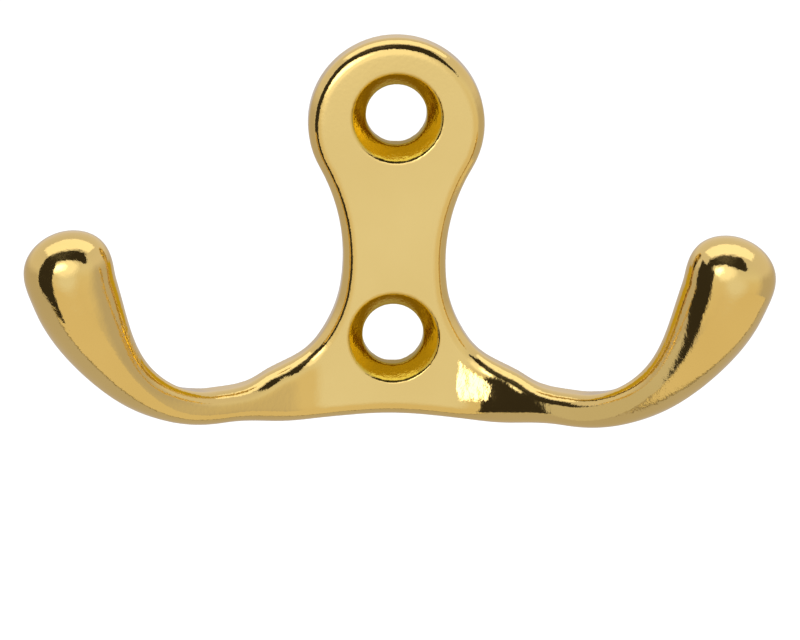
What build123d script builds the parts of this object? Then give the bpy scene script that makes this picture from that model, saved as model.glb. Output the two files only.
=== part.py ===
"""Double coat hook: one casting, a lobed wall plate whose foot spreads into two upturned arms.

Frame: the wall is the plane Y = 0, the hook stands out towards -Y, +Z is up.
The origin is on the wall, halfway between the two screw holes.
"""
import os
from math import asin, atan, cos, degrees, radians, sin, tan

from build123d import *

# Wall plate, in mm
plate_thickness = 3.8
hole_pitch = 22.0
hole_diameter = 6.0
countersink_diameter = 9.0
countersink_angle = 80
lobe_radius = 8.66
lobe_drop = 0.88  # the lobe is centred a little under the upper hole
neck_width = 10.08
neck_z = -3.45
neck_sweep = 8  # degrees of the neck arc kept under its narrowest point

# Foot of the plate, where it spreads into the arms
foot_z = -18.84
foot_belly = (10.8, -19.4)
flare_high = (6.75, -10.4)
flare_mid = (8.8, -12.8)
flare_low = (12.4, -14.38)

# Arms: bent forward off the wall, then curled upwards
arm_splay = 33.0
bend_start = 5.1  # X where the foot leaves the wall
bend_end = 11.9  # X where it runs straight again
arm_reach = 17.6  # X where the bent stub ends and the curl begins
stub_margin = 0.1  # the outline runs level this far past both corners of the stub's end
arm_top = -15.48
arm_height = 3.26
curl_radius = 15.1
curl_angle = 45.4
rise_radius = 27.1
rise_angle = 27.8

# Bulb at the end of each arm
bulb_width = 9.05
bulb_depth = 7.8
bulb_cap = 3.6
swell_power = 1.27  # higher keeps the arm slender for longer

# Edges
front_round = 1.45
back_chamfer = 0.5

# Places along the curl, in mm of travel, where the arm's section is drawn
stub_stations = (0, 0.7, 5.0)
oval_stations = (9.5, 16.0, 22.0)
cap_stations = (0, 30, 56, 75, 85)  # degrees round the rounded end
oval_marks = (-10, 10, 80, 100, 170, 190, 260, 280, 350)

# Values that follow from the ones above
lobe_z = hole_pitch / 2 - lobe_drop
neck_half = neck_width / 2
neck_gap = lobe_z - neck_z
neck_radius = (neck_gap**2 + neck_half**2 - lobe_radius**2) / (2 * (lobe_radius - neck_half))
neck_x = neck_half + neck_radius
lobe_angle = -degrees(asin(neck_gap / (lobe_radius + neck_radius)))
sweep = radians(neck_sweep)
half = plate_thickness / 2
splay = radians(arm_splay)
curl = radians(curl_angle)
rise = radians(rise_angle)
arm_bottom = arm_top - arm_height
arm_z = arm_top - arm_height / 2
stub_start = arm_reach - half * sin(splay) - stub_margin
stub_end = arm_reach + half * sin(splay) + stub_margin
curl_length = curl_radius * curl
bulb_travel = curl_length + rise_radius * rise
arm_round = arm_height / 2 - 0.1
bend_length = bend_end - bend_start
stub_y = -half - tan(splay) * (bend_length / 2 + arm_reach - bend_end)


def bend_point(share, offset):
    """Point so far round the bend seen from above, offset from the middle line towards the wall."""
    lean = atan(tan(splay) * (3 * share**2 - 2 * share**3))
    depth = half + tan(splay) * bend_length * (share**3 - share**4 / 2)
    return (
        bend_start + bend_length * share + offset * sin(lean),
        offset * cos(lean) - depth,
    )


def strip_side(offset):
    """Points round the bend on one side of the strip, and the corner where its stub ends."""
    bend = [bend_point(step / 6, offset) for step in range(7)]
    return bend, (arm_reach + offset * sin(splay), stub_y + offset * cos(splay))


def rim_edges(part, side):
    """Edges between the outline's walls and the faces that look to the given side of Y."""
    walls = part.faces().filter_by(lambda f: abs(f.normal_at().Y) < 0.1)
    looking = part.faces().filter_by(lambda f: f.normal_at().Y * side > 0.7)
    return set(walls.edges()) & set(looking.edges())


def swell(travel):
    """Share of the growth from slender arm to full bulb, after so many mm along the curl."""
    share = (travel / bulb_travel) ** swell_power
    return share**2 * (3 - 2 * share)


def arm_depth(travel):
    return plate_thickness + (bulb_depth - plate_thickness) * swell(travel)


def arm_width(travel):
    return arm_height + (bulb_width - arm_height) * swell(travel)


def arm_plane(travel):
    """Section plane of the right arm after so many mm along its curl."""
    turn = min(travel, curl_length) / curl_radius
    out = curl_radius * sin(turn)
    up = curl_radius * (1 - cos(turn))
    if travel > curl_length:
        turn = curl + min(travel - curl_length, rise_radius * rise) / rise_radius
        out += rise_radius * (sin(turn) - sin(curl))
        up += rise_radius * (cos(curl) - cos(turn))
    past = max(travel - bulb_travel, 0)
    out += past * cos(turn)
    up += past * sin(turn)
    ahead = Vector(cos(splay), -sin(splay), 0)
    return Plane(
        origin=Vector(arm_reach, stub_y, arm_z + up) + ahead * out,
        x_dir=(sin(splay), cos(splay), 0),
        z_dir=ahead * cos(turn) + Vector(0, 0, sin(turn)),
    )


with BuildPart() as coat_hook:
    # Under the neck: a strip of even thickness, flat against the wall and bent forward at both ends
    with BuildSketch(Plane.XY.offset(foot_z - half)):
        with BuildLine():
            back, back_corner = strip_side(half)
            front, front_corner = strip_side(-half)
            Line((0, 0), back[0])
            Spline(back, tangents=[(1, 0), (cos(splay), -sin(splay))])
            Polyline(back[-1], back_corner, front_corner, front[-1])
            Spline(front[::-1], tangents=[(-cos(splay), sin(splay)), (-1, 0)])
            Line(front[0], (0, -plate_thickness))
            mirror(about=Plane.YZ)
        make_face()
    extrude(amount=neck_z - foot_z + half)

    # Over the neck: a flat slab
    with BuildSketch(Plane.XY.offset(neck_z)):
        with Locations((0, -half)):
            Rectangle(2 * lobe_radius, plate_thickness)
    extrude(amount=lobe_z + lobe_radius - neck_z)

    # The outline seen from the front keeps the part of the strip and slab inside it
    with BuildSketch(Plane.XZ):
        with BuildLine():
            CenterArc((0, lobe_z), lobe_radius, lobe_angle, 90 - lobe_angle)
            neck = CenterArc(
                (neck_x, neck_z), neck_radius, 180 + lobe_angle, neck_sweep - lobe_angle
            )
            Spline(
                neck @ 1,
                flare_high,
                flare_mid,
                flare_low,
                (stub_start, arm_top),
                tangents=[(sin(sweep), -cos(sweep)), (1, 0)],
            )
            Polyline(
                (stub_start, arm_top),
                (stub_end, arm_top),
                (stub_end, arm_bottom),
                (stub_start, arm_bottom),
            )
            Spline(
                (stub_start, arm_bottom),
                foot_belly,
                (0, foot_z),
                tangents=[(-1, 0), (-1, 0)],
            )
            mirror(about=Plane.YZ)
        make_face()
    extrude(amount=hole_pitch, mode=Mode.INTERSECT)

    # Rounded front edges, lightly broken back edges
    fillet(rim_edges(coat_hook, -1), radius=front_round)
    chamfer(rim_edges(coat_hook, 1), length=back_chamfer)

    # Right arm: the stub's rounded section first, then ovals growing along the curl to the bulb
    sections = []
    for travel in stub_stations:
        softened = travel / oval_stations[0]
        with BuildSketch(arm_plane(travel), mode=Mode.PRIVATE) as section:
            Rectangle(arm_depth(travel), arm_width(travel))
            fillet(
                section.vertices().group_by(Axis.X)[0],
                front_round + (arm_round - front_round) * softened,
            )
            back_corners = section.vertices().group_by(Axis.X)[-1]
            if travel == 0:
                chamfer(back_corners, back_chamfer)
            else:
                fillet(back_corners, back_chamfer + (arm_round - back_chamfer) * softened)
        sections.append(section.sketch)
    ovals = [(travel, 1) for travel in oval_stations]
    ovals += [
        (bulb_travel + bulb_cap * sin(radians(angle)), cos(radians(angle)))
        for angle in cap_stations
    ]
    for travel, shrink in ovals:
        grown = min(travel, bulb_travel)
        with BuildSketch(arm_plane(travel), mode=Mode.PRIVATE) as section:
            with BuildLine():
                for start, stop in zip(oval_marks, oval_marks[1:]):
                    EllipticalCenterArc(
                        (0, 0),
                        arm_depth(grown) * shrink / 2,
                        arm_width(grown) * shrink / 2,
                        start,
                        arc_size=stop - start,
                    )
            make_face()
        sections.append(section.sketch)
    arm = loft(sections=sections)
    mirror(arm, about=Plane.YZ)

    # Countersunk screw holes, opened from the front
    for level in (hole_pitch / 2, -hole_pitch / 2):
        with Locations(Plane(origin=(0, -plate_thickness, level), z_dir=(0, -1, 0))):
            CounterSinkHole(
                radius=hole_diameter / 2,
                counter_sink_radius=countersink_diameter / 2,
                counter_sink_angle=countersink_angle,
            )

coat_hook.part.label = "coat_hook"
os.makedirs("parts", exist_ok=True)
export_step(coat_hook.part, "parts/coat_hook.step")
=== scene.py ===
"""Looks for the coat hook: polished brass, a white floor, studio cards and the photo's camera."""
from math import cos, radians, sin

import bpy
from mathutils import Matrix, Vector


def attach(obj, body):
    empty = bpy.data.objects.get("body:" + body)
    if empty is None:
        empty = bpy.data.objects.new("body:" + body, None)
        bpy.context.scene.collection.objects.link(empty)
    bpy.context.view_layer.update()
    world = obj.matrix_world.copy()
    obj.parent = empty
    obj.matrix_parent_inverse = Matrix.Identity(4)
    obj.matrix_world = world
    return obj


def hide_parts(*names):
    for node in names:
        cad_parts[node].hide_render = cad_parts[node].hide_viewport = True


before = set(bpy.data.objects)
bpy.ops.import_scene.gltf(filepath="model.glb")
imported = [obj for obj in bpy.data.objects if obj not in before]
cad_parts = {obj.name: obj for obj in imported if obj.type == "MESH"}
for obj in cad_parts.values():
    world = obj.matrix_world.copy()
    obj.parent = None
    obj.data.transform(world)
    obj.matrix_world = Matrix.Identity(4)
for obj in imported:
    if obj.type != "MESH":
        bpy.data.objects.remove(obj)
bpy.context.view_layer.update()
scene = bpy.context.scene

MM = 0.001

# Screw holes, in mm
hole_level = 11  # above and below the origin
bore_radius = 3
tint_radius = 4.45  # the painted shade, a darker tint, fills the countersink
tint_back = 0.2  # and stops this far in front of the wall
tint_blend = 0.1

# Camera: angles in degrees, lengths in mm
view_azimuth = -2.17
view_elevation = 11.93
view_roll = 0.9155
view_distance = 1153.3
aim_right = 0.58
aim_down = 9.8
lens_length = 528
sensor_width = 36

# Shades of the tent and the cards
tent_grey = (0.58, 0.55, 0.57)
warm_white = (0.84, 0.75, 0.59)
dark = (0.04, 0.035, 0.03)
pale_grey = (0.68, 0.66, 0.66)
spot_white = (4.0, 4.0, 4.2)
amber = (0.6, 0.43, 0.03)
tan_brown = (0.46, 0.4, 0.28)
window_white = (1.3, 1.3, 1.35)
core_white = (3.4, 3.4, 3.6)
cool_white = (0.92, 0.93, 0.98)
ceiling_white = (1.35, 1.35, 1.4)
edge_brown = (0.2, 0.16, 0.08)


def node(tree, kind, **inputs):
    """Add a node and set its inputs by name, with spaces written as underscores."""
    made = tree.nodes.new(kind)
    for key, value in inputs.items():
        made.inputs[key.replace("_", " ")].default_value = value
    return made


def maths(tree, operation):
    """Add a maths node of one operation."""
    made = tree.nodes.new("ShaderNodeMath")
    made.operation = operation
    return made


def ramp(tree, stops):
    """Colour ramp through (position, colour) stops."""
    made = tree.nodes.new("ShaderNodeValToRGB")
    elements = made.color_ramp.elements
    while len(elements) < len(stops):
        elements.new(1.0)
    for element, (position, colour) in zip(elements, stops):
        element.position = position
        element.color = (*colour, 1.0)
    return made


def blend(tree, share, first, second):
    """Colour between those of two ramps, by a share from 0 to 1."""
    made = tree.nodes.new("ShaderNodeMix")
    made.data_type = "RGBA"
    start, end = [socket for socket in made.inputs if socket.type == "RGBA"]
    tree.links.new(share, made.inputs["Factor"])
    tree.links.new(first.outputs["Color"], start)
    tree.links.new(second.outputs["Color"], end)
    return next(socket for socket in made.outputs if socket.type == "RGBA")


def between(tree, share, first, second):
    """Shader between two others, by a share from 0 to 1."""
    made = tree.nodes.new("ShaderNodeMixShader")
    tree.links.new(share, made.inputs["Fac"])
    tree.links.new(first.outputs[0], made.inputs[1])
    tree.links.new(second.outputs[0], made.inputs[2])
    return made


def empty_material(name):
    """New material without nodes, and its node tree."""
    made = bpy.data.materials.new(name)
    made.use_nodes = True
    made.node_tree.nodes.clear()
    return made, made.node_tree


def surface(tree, shader):
    """Make the shader the material's surface."""
    out = tree.nodes.new("ShaderNodeOutputMaterial")
    tree.links.new(shader.outputs[0], out.inputs["Surface"])


def seen_ray(tree):
    """1 for the rays that show the background: camera, glossy and transmission rays."""
    path = tree.nodes.new("ShaderNodeLightPath")
    first = maths(tree, "MAXIMUM")
    second = maths(tree, "MAXIMUM")
    tree.links.new(path.outputs["Is Camera Ray"], first.inputs[0])
    tree.links.new(path.outputs["Is Glossy Ray"], first.inputs[1])
    tree.links.new(first.outputs[0], second.inputs[0])
    tree.links.new(path.outputs["Is Transmission Ray"], second.inputs[1])
    return second.outputs[0]


def in_screw_holes(tree, place):
    """1 inside the two countersunk screw holes, where the brass colour is darkened as painted shade,
    and 0 elsewhere.
    """
    split = tree.nodes.new("ShaderNodeSeparateXYZ")
    height = maths(tree, "ABSOLUTE")
    rise = maths(tree, "SUBTRACT")
    rise.inputs[1].default_value = hole_level * MM
    across = tree.nodes.new("ShaderNodeCombineXYZ")
    reach = tree.nodes.new("ShaderNodeVectorMath")
    reach.operation = "LENGTH"
    inside = node(
        tree,
        "ShaderNodeMapRange",
        From_Min=(tint_radius + tint_blend) * MM,
        From_Max=(tint_radius - tint_blend) * MM,
    )
    off_wall = node(
        tree,
        "ShaderNodeMapRange",
        From_Min=-(tint_back - tint_blend) * MM,
        From_Max=-(tint_back + tint_blend) * MM,
    )
    both = maths(tree, "MULTIPLY")
    tree.links.new(place.outputs["Object"], split.inputs[0])
    tree.links.new(split.outputs["Z"], height.inputs[0])
    tree.links.new(height.outputs[0], rise.inputs[0])
    tree.links.new(split.outputs["X"], across.inputs["X"])
    tree.links.new(rise.outputs[0], across.inputs["Z"])
    tree.links.new(across.outputs[0], reach.inputs[0])
    tree.links.new(reach.outputs["Value"], inside.inputs["Value"])
    tree.links.new(split.outputs["Y"], off_wall.inputs["Value"])
    tree.links.new(inside.outputs["Result"], both.inputs[0])
    tree.links.new(off_wall.outputs["Result"], both.inputs[1])
    return both.outputs[0]


def polished_brass():
    """Brass with a faint change of tint, painted shade in the screw holes, a little haze and the
    fine ripple that polishing leaves.
    """
    made, tree = empty_material("polished_brass")
    shader = node(tree, "ShaderNodeBsdfPrincipled", Metallic=1.0)
    place = tree.nodes.new("ShaderNodeTexCoord")

    tint = node(tree, "ShaderNodeTexNoise", Scale=90.0, Detail=3.0, Roughness=0.5)
    open_tint = ramp(tree, [(0.3, (0.78, 0.565, 0.195)), (0.7, (0.82, 0.605, 0.22))])
    # Painted shade: a darker, deeper brass colour inside the screw holes, standing in for the shade
    # in them
    hole_painted_shade = ramp(tree, [(0.3, (0.62, 0.43, 0.045)), (0.7, (0.67, 0.475, 0.06))])
    tree.links.new(place.outputs["Object"], tint.inputs["Vector"])
    tree.links.new(tint.outputs["Fac"], open_tint.inputs["Fac"])
    tree.links.new(tint.outputs["Fac"], hole_painted_shade.inputs["Fac"])
    colour = blend(tree, in_screw_holes(tree, place), open_tint, hole_painted_shade)
    tree.links.new(colour, shader.inputs["Base Color"])

    haze = node(tree, "ShaderNodeTexNoise", Scale=240.0, Detail=4.0, Roughness=0.6)
    haze_range = node(
        tree, "ShaderNodeMapRange", From_Min=0.3, From_Max=0.7, To_Min=0.04, To_Max=0.09
    )
    tree.links.new(place.outputs["Object"], haze.inputs["Vector"])
    tree.links.new(haze.outputs["Fac"], haze_range.inputs["Value"])
    tree.links.new(haze_range.outputs["Result"], shader.inputs["Roughness"])

    ripple = node(tree, "ShaderNodeTexNoise", Scale=2600.0, Detail=3.0, Roughness=0.6)
    ripple_bump = node(tree, "ShaderNodeBump", Strength=0.3, Distance=0.04 * MM)
    tree.links.new(place.outputs["Object"], ripple.inputs["Vector"])
    tree.links.new(ripple.outputs["Fac"], ripple_bump.inputs["Height"])
    tree.links.new(ripple_bump.outputs["Normal"], shader.inputs["Normal"])
    surface(tree, shader)
    return made


def polished(source, name):
    """Copy of a CAD piece with small even faces and its edges softened, as polishing leaves them."""
    rough = source.copy()
    scene.collection.objects.link(rough)
    weld = rough.modifiers.new("weld", "WELD")
    weld.merge_threshold = 0.001 * MM
    even = rough.modifiers.new("even", "REMESH")
    even.mode = "VOXEL"
    even.voxel_size = 0.2 * MM
    even.use_smooth_shade = True
    soft = rough.modifiers.new("soft", "SMOOTH")
    soft.factor = 0.5
    soft.iterations = 2
    shaped = rough.evaluated_get(bpy.context.evaluated_depsgraph_get())
    mesh = bpy.data.meshes.new_from_object(shaped)
    bpy.data.objects.remove(rough)
    made = bpy.data.objects.new(name, mesh)
    scene.collection.objects.link(made)
    return made


def white_floor(height):
    """White where it is seen, with the object's shadow on it."""
    bpy.ops.mesh.primitive_plane_add(size=6.0, location=(0, 0, height))
    floor = bpy.context.object
    floor.name = "floor"
    paper, tree = empty_material("white_paper")
    matte = node(tree, "ShaderNodeBsdfDiffuse", Color=(0.85, 0.85, 0.85, 1.0))
    lift = node(tree, "ShaderNodeEmission", Color=(1.0, 1.0, 1.0, 1.0), Strength=0.25)
    lifted = tree.nodes.new("ShaderNodeAddShader")
    tree.links.new(matte.outputs[0], lifted.inputs[0])
    tree.links.new(lift.outputs[0], lifted.inputs[1])
    surface(tree, between(tree, seen_ray(tree), matte, lifted))
    floor.data.materials.append(paper)
    floor.visible_glossy = False


def white_world():
    """White where it is seen, a little softer as a light."""
    world = bpy.data.worlds.new("studio")
    scene.world = world
    world.use_nodes = True
    tree = world.node_tree
    tree.nodes.clear()
    out = tree.nodes.new("ShaderNodeOutputWorld")
    soft = node(tree, "ShaderNodeBackground", Color=(1.0, 1.0, 1.0, 1.0), Strength=0.9)
    white = node(tree, "ShaderNodeBackground", Color=(1.0, 1.0, 1.0, 1.0), Strength=1.0)
    choice = between(tree, seen_ray(tree), soft, white)
    tree.links.new(choice.outputs[0], out.inputs["Surface"])


def only_reflected(obj):
    """Set an object to show in reflections and nowhere else."""
    obj.visible_camera = False
    obj.visible_diffuse = False
    obj.visible_shadow = False
    obj.visible_transmission = False


def card_shape(name, corners):
    """Flat card through corners given in mm."""
    mesh = bpy.data.meshes.new(name)
    face = tuple(range(len(corners)))
    mesh.from_pydata([Vector(corner) * MM for corner in corners], [], [face])
    made = bpy.data.objects.new(name, mesh)
    scene.collection.objects.link(made)
    only_reflected(made)
    return made


def card(name, corners, shade, one_sided=False):
    """Card of one even shade, clear from behind if it is one-sided."""
    made = card_shape(name, corners)
    board, tree = empty_material(name)
    shown = node(tree, "ShaderNodeEmission", Color=(*shade, 1.0), Strength=1.0)
    if one_sided:
        side = tree.nodes.new("ShaderNodeNewGeometry")
        clear = tree.nodes.new("ShaderNodeBsdfTransparent")
        shown = between(tree, side.outputs["Backfacing"], shown, clear)
    surface(tree, shown)
    made.data.materials.append(board)


def softbox(name, centre, half_width, half_height, shade, fade):
    """Upright oval card facing the hook, in mm, that fades out over an outer share of its radius."""
    made = card_shape(name, [(-1, 0, -1), (1, 0, -1), (1, 0, 1), (-1, 0, 1)])
    made.location = Vector(centre) * MM
    made.scale = (half_width, 1, half_height)
    cloth, tree = empty_material(name)
    place = tree.nodes.new("ShaderNodeTexCoord")
    to_unit = node(tree, "ShaderNodeMapping", Scale=(1 / MM, 1 / MM, 1 / MM))
    inward = tree.nodes.new("ShaderNodeTexGradient")
    inward.gradient_type = "SPHERICAL"
    share = node(tree, "ShaderNodeMapRange", From_Min=0.0, From_Max=fade)
    share.interpolation_type = "SMOOTHSTEP"
    glow = node(tree, "ShaderNodeEmission", Color=(*shade, 1.0), Strength=1.0)
    clear = tree.nodes.new("ShaderNodeBsdfTransparent")
    tree.links.new(place.outputs["Object"], to_unit.inputs["Vector"])
    tree.links.new(to_unit.outputs["Vector"], inward.inputs["Vector"])
    tree.links.new(inward.outputs["Fac"], share.inputs["Value"])
    surface(tree, between(tree, share.outputs["Result"], clear, glow))
    made.data.materials.append(cloth)


def disc(centre_z, radius, y, sides=12):
    """Corners of an upright round card centred on X = 0 and facing forward, in mm."""
    turns = [radians(360 * side / sides) for side in range(sides)]
    return [(radius * cos(turn), y, centre_z + radius * sin(turn)) for turn in turns]


def light_tent(radius):
    """Round tent, grey behind and at the sides, warmer in front."""
    bpy.ops.mesh.primitive_uv_sphere_add(segments=64, ring_count=32, radius=radius)
    tent = bpy.context.object
    tent.name = "light_tent"
    cloth, tree = empty_material("tent_cloth")
    place = tree.nodes.new("ShaderNodeTexCoord")
    split = tree.nodes.new("ShaderNodeSeparateXYZ")
    height = node(tree, "ShaderNodeMapRange", From_Min=-radius, From_Max=radius)
    ahead = node(tree, "ShaderNodeMapRange", From_Min=-0.2 * radius, From_Max=-0.55 * radius)
    behind_ramp = ramp(
        tree,
        [
            (0.0, tent_grey),
            (0.5, (0.60, 0.56, 0.56)),
            (0.64, (0.82, 0.79, 0.82)),
            (1.0, (0.78, 0.76, 0.80)),
        ],
    )
    front_ramp = ramp(
        tree,
        [
            (0.22, tent_grey),
            (0.26, warm_white),
            (0.45, (0.85, 0.79, 0.67)),
            (0.60, (0.88, 0.87, 0.86)),
            (0.9, (0.76, 0.75, 0.78)),
        ],
    )
    glow = node(tree, "ShaderNodeEmission", Strength=1.0)
    tree.links.new(place.outputs["Object"], split.inputs[0])
    tree.links.new(split.outputs["Z"], height.inputs["Value"])
    tree.links.new(split.outputs["Y"], ahead.inputs["Value"])
    tree.links.new(height.outputs["Result"], behind_ramp.inputs["Fac"])
    tree.links.new(height.outputs["Result"], front_ramp.inputs["Fac"])
    colour = blend(tree, ahead.outputs["Result"], behind_ramp, front_ramp)
    tree.links.new(colour, glow.inputs["Color"])
    surface(tree, glow)
    tent.data.materials.append(cloth)
    only_reflected(tent)


def soft_lamp():
    """Broad lamp over the hook, for the shadow on the floor."""
    panel = bpy.data.lights.new("lamp", "AREA")
    panel.shape = "RECTANGLE"
    panel.size = 0.5
    panel.size_y = 0.5
    panel.energy = 2.0
    lamp = bpy.data.objects.new("lamp", panel)
    scene.collection.objects.link(lamp)
    lamp.location = (-0.15, -0.2, 0.7)
    lamp.rotation_euler = (-lamp.location).to_track_quat("-Z", "Y").to_euler()


def photo_camera():
    """Camera at the photo's angle."""
    azimuth = radians(view_azimuth)
    elevation = radians(view_elevation)
    roll = radians(view_roll)
    back = Vector((sin(azimuth) * cos(elevation), -cos(azimuth) * cos(elevation), sin(elevation)))
    level = Vector((cos(azimuth), sin(azimuth), 0))
    upright = back.cross(level)
    right = cos(roll) * level + sin(roll) * upright
    up = cos(roll) * upright - sin(roll) * level
    aim = right * aim_right * MM - up * aim_down * MM
    eye = back * view_distance * MM
    away = (eye - aim).normalized()
    right = (right - away * right.dot(away)).normalized()
    lens = bpy.data.cameras.new("photo_camera")
    lens.sensor_width = sensor_width
    lens.lens = lens_length
    lens.clip_start = 0.01
    camera = bpy.data.objects.new("photo_camera", lens)
    scene.collection.objects.link(camera)
    turn = Matrix((right, away.cross(right), away)).transposed().to_4x4()
    camera.matrix_world = Matrix.Translation(eye) @ turn
    scene.camera = camera


hook = polished(bpy.data.objects["coat_hook"], "polished_hook")
hook.data.materials.clear()
hook.data.materials.append(polished_brass())
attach(hook, "root")
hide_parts("coat_hook")

white_floor(-100 * MM)
white_world()
light_tent(600 * MM)
soft_lamp()

# Dark flags at the left and above
card(
    "left_flag",
    [
        (-58, -68, 66),
        (-56, -68.7, -86),
        (-72, -63.4, -84),
        (-112, -50.3, -68),
        (-117, -48.8, -10),
        (-129, -44.8, 100),
    ],
    dark,
)
card(
    "top_flag",
    [
        (-190, -80, 84),
        (-5, -80, 68),
        (60, -80, 42),
        (80, -80, 60),
        (88, -50, 170),
        (-190, -50, 170),
    ],
    dark,
)

# One-sided cards between the arms, for what the right bulb and the root of its arm mirror
card(
    "leg_flag",
    [
        (12, -16, 9.5),
        (12, -33, 5),
        (12, -31.5, -12),
        (12, -26.3, -16),
        (12, -26.5, -25.5),
        (12, -23.2, -17.8),
        (12, -21.3, -13.3),
        (12, -17.1, -5.7),
    ],
    dark,
    one_sided=True,
)
card(
    "arm_bounce",
    [
        (6.5, -12.6, -13),
        (6.1, -20.5, -13),
        (5.9, -25, -22),
        (5.7, -29, -31),
        (6.5, -12.6, -31),
    ],
    pale_grey,
    one_sided=True,
)
card(
    "root_glow",
    [
        (6.2, -4.3, -16.1),
        (6.2, -5.2, -15.2),
        (6.2, -6.2, -13.8),
        (6.2, -6.9, -13.8),
        (6.2, -6.9, -17.6),
        (6.2, -6.6, -18),
        (6.2, -6, -17.4),
        (6.2, -5.2, -16.8),
    ],
    spot_white,
    one_sided=True,
)

# Amber cards beside and behind the neck, each facing its arm, and a shade behind each screw hole
for name, x, start, end in (("right_glow", 6, 9, -3.5), ("left_glow", -6, -3.5, 9)):
    corners = [(x, start, -10.5), (x, start, 0), (x, end, 0), (x, end, -10.5)]
    card(name, corners, amber, one_sided=True)
for name, level in (("upper_hole_shade", hole_level), ("lower_hole_shade", -hole_level)):
    card(name, disc(level, radius=bore_radius - 0.05, y=0.2), tan_brown, one_sided=True)

# Softboxes in front, a white panel overhead and a board below with a dark edge
softbox("window", (-25, -105, 46), 72, 62, window_white, fade=0.5)
softbox("window_core", (-56, -104, 50), 46, 38, core_white, fade=0.8)
softbox("face_light", (20, -300, -62), 210, 200, cool_white, fade=0.8)
card(
    "overhead",
    [(-260, -50, 300), (260, -50, 300), (260, 140, 270), (-260, 140, 270)],
    ceiling_white,
)
card(
    "board",
    [(-350, -229, -300), (-350, -600, -300), (480, -600, -300), (480, 153, -300)],
    warm_white,
)
card(
    "board_edge",
    [(-350, -219, -299), (-350, -231, -299), (480, 151, -299), (480, 163, -299)],
    edge_brown,
)

photo_camera()
scene.view_settings.view_transform = "Standard"
